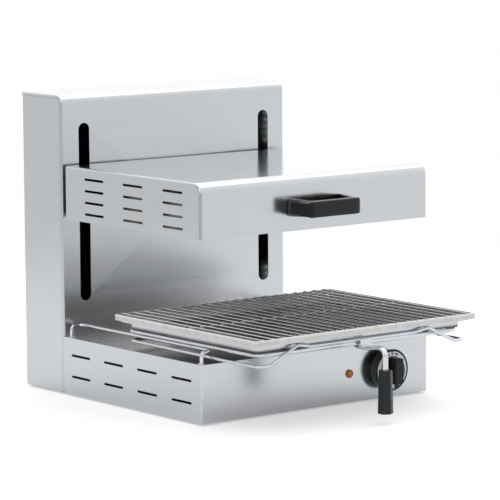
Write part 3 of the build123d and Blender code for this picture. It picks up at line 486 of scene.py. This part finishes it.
def bow_shape(reach, edge):
    """The bow handle: a C of bevelled section, broad and high at its feet, that narrows to its front bar."""
    foot_half, front_half = 60.0 * MM, 54.0 * MM
    foot_depth, bar_depth = 14.0 * MM, 13.0 * MM
    foot_high, front_high = 15.0 * MM, 13.2 * MM
    end_bevel = 5.0 * MM
    centre_z = (BOW_LOW.z + BOW_HIGH.z) / 2 - 1.6 * MM
    foot_y = BOW_HIGH.y

    def side(sign, half_foot, half_front, depth, radius):
        foot = Vector((sign * half_foot, 0.0))
        corner = Vector((sign * half_front, -depth))
        middle = Vector((0.0, -depth))
        leg = [foot.lerp(corner, step / 6 * 0.9) for step in range(6)]
        bar = [corner.lerp(middle, 0.22 + 0.78 * step / 4) for step in range(4)]
        return leg + bent(foot, corner, middle, radius) + bar

    outer = side(-1, foot_half, front_half, reach, 9.0 * MM)
    inner = side(-1, foot_half - foot_depth, front_half - foot_depth, reach - bar_depth, 5.0 * MM)
    outer += [Vector((-spot.x, spot.y)) for spot in reversed(outer)]
    inner += [Vector((-spot.x, spot.y)) for spot in reversed(inner)]
    rings = []
    for far, near in zip(outer, inner):
        high = foot_high + (front_high - foot_high) * min(-far.y / reach, 1.0)
        thick = (far - near).length
        across = (far - near) / thick
        cuts = ((0.0, -1, 2.5 * MM), (0.0, 1, 2.5 * MM), (1.0, 1, edge), (1.0, -1, edge))
        corners = [Vector((at * thick, up * high)) for at, up, cut in cuts]
        ring = []
        for index, (at, up, cut) in enumerate(cuts):
            ring += bent(corners[index - 1], corners[index], corners[(index + 1) % 4], cut, 3)
        rings.append([])
        for spot in ring:
            flat = near + across * spot.x
            half_width = foot_half + (front_half - foot_half) * min(-flat.y / reach, 1.0)
            most = high - max(abs(flat.x) - (half_width - end_bevel), 0.0)
            up = min(max(spot.y, -most), most)
            rings[-1].append(Vector((flat.x, foot_y + flat.y, centre_z + up)))
    return skin(rings)


def to_mesh(shape, name):
    mesh = bpy.data.meshes.new(name)
    shape.to_mesh(mesh)
    shape.free()
    return mesh


def beads(name, spots, radius, flat=0.7, seed=3):
    """Small uneven weld nuggets, one mesh for a whole row."""
    whole = bmesh.new()
    for index, spot in enumerate(spots):
        made = bmesh.ops.create_icosphere(whole, subdivisions=2, radius=radius)
        for vert in made["verts"]:
            wave = math.sin(vert.co.x * 2900 + index * seed) * math.sin(vert.co.y * 2300 + index * 1.7)
            swell = 1.0 + 0.16 * wave + 0.06 * math.sin(index * 2.3 + seed)
            vert.co = Vector((vert.co.x * swell, vert.co.y * swell, vert.co.z * flat * swell)) + spot
    return to_mesh(whole, name)


# ---------------------------------------------------------------- properties
def colour_property(name, description, default):
    return FloatVectorProperty(
        name=name, description=description, default=default, size=3, min=0.0, max=1.0, subtype="COLOR"
    )


class GrillFinishes(bpy.types.PropertyGroup):
    """Colours and roughness of the finishes."""

    sheet_colour: colour_property("Sheet", "Colour of the brushed stainless sheet", (0.71, 0.73, 0.755))
    sheet_rough: FloatProperty(
        name="Sheet roughness", description="How blurred the sheet's reflections are",
        default=0.20, min=0.05, max=0.8, subtype="FACTOR",
    )
    # the base top's darker, browner colour is partly heat tint and partly a painted reflection of the head's
    # dark underside
    top_colour: colour_property("Base top", "Colour of the plate under the rack", (0.62, 0.60, 0.57))
    wire_colour: colour_property("Wire", "Colour of the drawn wire", (0.83, 0.85, 0.88))
    grid_colour: colour_property("Grid", "Colour of the plated grid", (0.82, 0.84, 0.86))
    # this brown is partly real browning of the rods and partly painted shade between the grid's bars
    stain_and_shade_colour: colour_property("Stain", "Colour of browned grid rods", (0.36, 0.31, 0.25))
    tray_colour: colour_property("Tray", "Colour of the drip tray", (0.70, 0.72, 0.75))
    black_colour: colour_property("Black plastic", "Colour of knob and bow handle", (0.004, 0.0045, 0.005))
    grip_colour: colour_property("Grip", "Colour of the lifting handle's grip", (0.008, 0.013, 0.017))
    dial_colour: colour_property("Dial", "Colour of the silver ring", (0.66, 0.67, 0.69))
    lamp_colour: colour_property("Lamp", "Colour of the pilot lamp", (0.58, 0.115, 0.012))


class GrillDetails(bpy.types.PropertyGroup):
    """Sizes of the small details."""

    grid_rods: IntProperty(name="Grid rods", description="Rods across the grid", default=21, min=3)
    bead_radius: FloatProperty(
        name="Weld bead", description="Radius of a weld nugget on the grid",
        default=0.0021, min=0.0005, max=0.004, subtype="DISTANCE", unit="LENGTH",
    )
    bow_reach: FloatProperty(
        name="Bow reach", description="How far the bow handle stands out from the head",
        default=0.049, min=0.03, max=0.06, subtype="DISTANCE", unit="LENGTH",
    )
    bow_edge: FloatProperty(
        name="Bow edge", description="Bevel of the bow handle's outer edges",
        default=0.0038, min=0.001, max=0.006, subtype="DISTANCE", unit="LENGTH",
    )


class GrillStage(bpy.types.PropertyGroup):
    """Floor, light and camera."""

    floor_colour: colour_property("Floor", "Colour of the floor", (0.72, 0.72, 0.725))
    sky: FloatProperty(name="Sky", description="Strength of the light all round", default=1.0, min=0.0)
    key: FloatProperty(name="Key", description="Power of the key lamp", default=26.0, min=0.0, unit="POWER")
    top: FloatProperty(
        name="Top", description="Power of the overhead lamp",
        default=24.0, min=0.0, unit="POWER",
    )
    lens: FloatProperty(name="Lens", description="Focal length in millimetres", default=219.7, min=20.0)


# ---------------------------------------------------------------- operators: stage
class GRILL_OT_stage(bpy.types.Operator):
    """Makes the floor, the soft lamps, the surroundings and the camera"""

    bl_idname = "grill.stage"
    bl_label = "Stage"

    def floor(self, stage):
        shape = bmesh.new()
        bmesh.ops.create_grid(shape, x_segments=4, y_segments=4, size=FLOOR_HALF)
        paper = bpy.data.objects.new("floor", to_mesh(shape, "floor"))
        paper.location = (0.0, 0.0, -FLOOR_DROP)
        bpy.context.scene.collection.objects.link(paper)
        paper.data.materials.append(stage_paper("floor_paper", stage.floor_colour, FLOOR_LIFT))

    def lamp(self, name, place, aim, size, power):
        light = bpy.data.lights.new(name, "AREA")
        light.shape = "RECTANGLE"
        light.size, light.size_y = size
        light.energy = power
        lamp = bpy.data.objects.new(name, light)
        lamp.location = place
        lamp.rotation_euler = (Vector(aim) - Vector(place)).to_track_quat("-Z", "Y").to_euler()
        bpy.context.scene.collection.objects.link(lamp)

    def surroundings(self, stage):
        world = bpy.data.worlds.new("studio")
        bpy.context.scene.world = world
        world.use_nodes = True
        f = Finish("studio", {}, world.node_tree)
        background = world.node_tree.nodes["Background"]
        x, y, z = f.node("ShaderNodeTexCoord", out="Generated").parts()
        seen = f.node("ShaderNodeLightPath", out="Is Camera Ray")
        level = (0.73 + x * 0.40 + y * 0.22 + z.held() * 0.10).larger(0.5) * stage.sky
        f.tree.links.new((seen + (1.0 - seen) * level).socket, background.inputs["Strength"])
        background.inputs["Color"].default_value = (1.0, 1.0, 1.0, 1.0)

    def camera(self, stage):
        view = bpy.data.cameras.new("camera")
        view.lens = stage.lens
        view.sensor_width = 36.0
        view.clip_start, view.clip_end = 0.1, 100.0
        camera = bpy.data.objects.new("camera", view)
        datum = Vector((0.0, COLUMN_Y, CASING_Z))
        place = datum + CAMERA_PLACE
        aim = datum + CAMERA_AIM
        level = (aim - place).to_track_quat("-Z", "Y").to_matrix()
        turn = level @ Matrix.Rotation(CAMERA_ROLL, 3, "Z")
        camera.matrix_world = Matrix.Translation(place) @ turn.to_4x4()
        bpy.context.scene.collection.objects.link(camera)
        bpy.context.scene.camera = camera

    def execute(self, context):
        stage = context.scene.grill_stage
        context.scene.view_settings.view_transform = "Standard"
        self.floor(stage)
        self.lamp("key_lamp", KEY_PLACE, LAMP_AIM, KEY_SIZE, stage.key)
        self.lamp("top_lamp", TOP_PLACE, LAMP_AIM, TOP_SIZE, stage.top)
        self.surroundings(stage)
        self.camera(stage)
        return {"FINISHED"}


# ---------------------------------------------------------------- operators: metal
class GRILL_OT_casing(bpy.types.Operator):
    """Finishes the column, the base and the head in brushed stainless sheet"""

    bl_idname = "grill.casing"
    bl_label = "Casing"

    def execute(self, context):
        look = context.scene.grill_finishes
        sheet = brushed_sheet("brushed_panel", look.sheet_colour, look.sheet_rough)
        dress(sheet, "column_side_left", "column_side_right")
        cover = brushed_sheet("column_sheet", look.sheet_colour, look.sheet_rough * 1.3)
        dress(cover, "column_cover")
        # the near-black inside of the back cover is painted shade, seen through the column's slots
        back = brushed_sheet("back_sheet", look.sheet_colour, look.sheet_rough, inner=(0.03, 0.03, 0.032))
        dress(back, "back_cover")
        dress(sheet, "base_casing", "head_rear_panel")
        shell = brushed_sheet("head_sheet", look.sheet_colour, look.sheet_rough * 0.8)
        dress(shell, "head_shell")
        # the cloudy brown tint is heat tint; the darker top colour is partly a painted reflection of the
        # head's dark underside
        top = brushed_sheet("base_top_sheet", look.top_colour, look.sheet_rough, tint=(0.52, 0.48, 0.42))
        dress(top, "base_top")
        dress(machined("screw_steel", (0.58, 0.59, 0.60)), "back_screws", "handle_screws")
        return {"FINISHED"}


class GRILL_OT_rack(bpy.types.Operator):
    """Finishes rails, carrier, tray and grid, and adds the weld beads of the grid"""

    bl_idname = "grill.rack"
    bl_label = "Rack"

    def execute(self, context):
        look, sizes = context.scene.grill_finishes, context.scene.grill_details
        wire = drawn_wire("polished_wire", look.wire_colour)
        dress(wire, "rail_left", "rail_right", "carrier", "lift_fork")
        dress(machined("washer_steel", look.wire_colour), "rail_washers", "rail_nuts")
        # the grid's brown is partly stain and partly painted shade between the bars
        plated = plated_grid("grid_wire", look.grid_colour, look.stain_and_shade_colour)
        dress(plated, "grid")
        dress(pressed_tray("tray_steel", look.tray_colour), "drip_tray")
        middle_y = (GRID_LOW.y + GRID_HIGH.y) / 2
        rod = 4.0 * MM
        both_bars = 6.0 * MM
        end_gap = 0.6       # of a pitch, between the frame and the first rod
        pitch = (GRID_HIGH.x - GRID_LOW.x - both_bars) / (sizes.grid_rods - 1 + 2 * end_gap)
        rows = range(sizes.grid_rods)
        lines = [(index - (sizes.grid_rods - 1) / 2) * pitch for index in rows]
        low = GRID_HIGH.z - rod
        flank = rod / 2 + 0.6 * MM
        bead_y = middle_y - 1.2 * MM
        spots = [Vector((x + side * flank, bead_y, low)) for x in lines for side in (-1, 1)]
        new_piece("grid_welds", beads("grid_welds", spots, sizes.bead_radius), wire, "grid")
        return {"FINISHED"}


# ---------------------------------------------------------------- operators: handles and controls
class GRILL_OT_handles(bpy.types.Operator):
    """Moulds the bow handle and finishes the grip"""

    bl_idname = "grill.handles"
    bl_label = "Handles"

    def execute(self, context):
        look = context.scene.grill_finishes
        sizes = context.scene.grill_details
        gloss = moulded("black_plastic", look.black_colour, 0.1, gloss=0.05, wear=0.05)
        shape = to_mesh(bow_shape(sizes.bow_reach, sizes.bow_edge), "bow_grip")
        bow = new_piece("bow_grip", shape, gloss, "head")
        bow.modifiers.new("even_faces", "WEIGHTED_NORMAL")
        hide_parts("bow_handle")
        dress(moulded("black_grip", look.grip_colour, 0.3, gloss=0.05, wear=0.1), "lift_grip")
        return {"FINISHED"}


class GRILL_OT_controls(bpy.types.Operator):
    """Finishes the knob with its dial ring and the pilot lamp"""

    bl_idname = "grill.controls"
    bl_label = "Controls"

    def execute(self, context):
        look = context.scene.grill_finishes
        dress(moulded("knob_plastic", look.black_colour, 0.32, gloss=0.0, wear=0.05), "knob")
        dress(dial_print("dial_silver", look.dial_colour), "knob_dial")
        dress(lamp_glass("lamp_orange", look.lamp_colour), "pilot_lens")
        dress(machined("shaft_steel", (0.55, 0.56, 0.57)), "regulator_shaft")
        return {"FINISHED"}


class GRILL_OT_inside(bpy.types.Operator):
    """Finishes what is inside, under and behind the grill"""

    bl_idname = "grill.inside"
    bl_label = "Inside and rear"

    def execute(self, context):
        zinc = spangled_zinc("galvanised")
        dress(zinc, "bottom_plate", "carriage_plate", "lower_cross_rail", "upper_cross_rail")
        dress(zinc, "lift_arm_left", "lift_arm_right", "bush_housings", "element_hangers")
        dress(ground_rod("ground_steel"), "guide_rod_left", "guide_rod_right")
        dress(mirror_pan("reflector"), "reflector_pan")
        dress(scaled_element("element_steel"), "heating_elements")
        dress(fired_ceramic("ceramic", (0.72, 0.69, 0.62)), "element_terminals")
        dress(mineral_wool("mineral_wool"), "insulation")
        dress(machined("spring_steel", (0.34, 0.35, 0.37), 0.35), "spring_left", "spring_right")
        dress(machined("bronze", (0.52, 0.33, 0.15)), "guide_bushes")
        dress(matt_rubber("rubber_black", (0.018, 0.018, 0.018)), "feet", "stop_buffers")
        dress(moulded("gland_plastic", (0.012, 0.012, 0.013), 0.4, gloss=0.1), "cable_gland", "gland_nut")
        dress(moulded("white_plastic", (0.66, 0.66, 0.63), 0.35, gloss=0.2), "terminal_block", "lamp_body")
        dress(moulded("regulator_plastic", (0.5, 0.48, 0.42), 0.4, gloss=0.1), "regulator_body")
        dress(machined("bonding_brass", (0.62, 0.60, 0.52)), "bonding_stud", "bonding_nut")
        return {"FINISHED"}


STEPS = (
    GRILL_OT_stage,
    GRILL_OT_casing,
    GRILL_OT_rack,
    GRILL_OT_handles,
    GRILL_OT_controls,
    GRILL_OT_inside,
)


class GRILL_PT_dresser(bpy.types.Panel):
    """Lists the steps and what a user would change"""

    bl_idname = "GRILL_PT_dresser"
    bl_label = "Salamander grill"
    bl_space_type = "VIEW_3D"
    bl_region_type = "UI"
    bl_category = "Grill"

    def draw(self, context):
        scene = context.scene
        for step in STEPS:
            self.layout.operator(step.bl_idname, text=step.bl_label)
        for group in (scene.grill_finishes, scene.grill_details, scene.grill_stage):
            box = self.layout.box()
            for name in group.__annotations__:
                box.prop(group, name)


CLASSES = (GrillFinishes, GrillDetails, GrillStage, *STEPS, GRILL_PT_dresser)


def register():
    for each in CLASSES:
        bpy.utils.register_class(each)
    bpy.types.Scene.grill_finishes = PointerProperty(type=GrillFinishes)
    bpy.types.Scene.grill_details = PointerProperty(type=GrillDetails)
    bpy.types.Scene.grill_stage = PointerProperty(type=GrillStage)


def unregister():
    del bpy.types.Scene.grill_stage
    del bpy.types.Scene.grill_details
    del bpy.types.Scene.grill_finishes
    for each in reversed(CLASSES):
        bpy.utils.unregister_class(each)


def main():
    register()
    for step in STEPS:
        kind, name = step.bl_idname.split(".")
        getattr(getattr(bpy.ops, kind), name)()


if __name__ == "__main__":
    main()
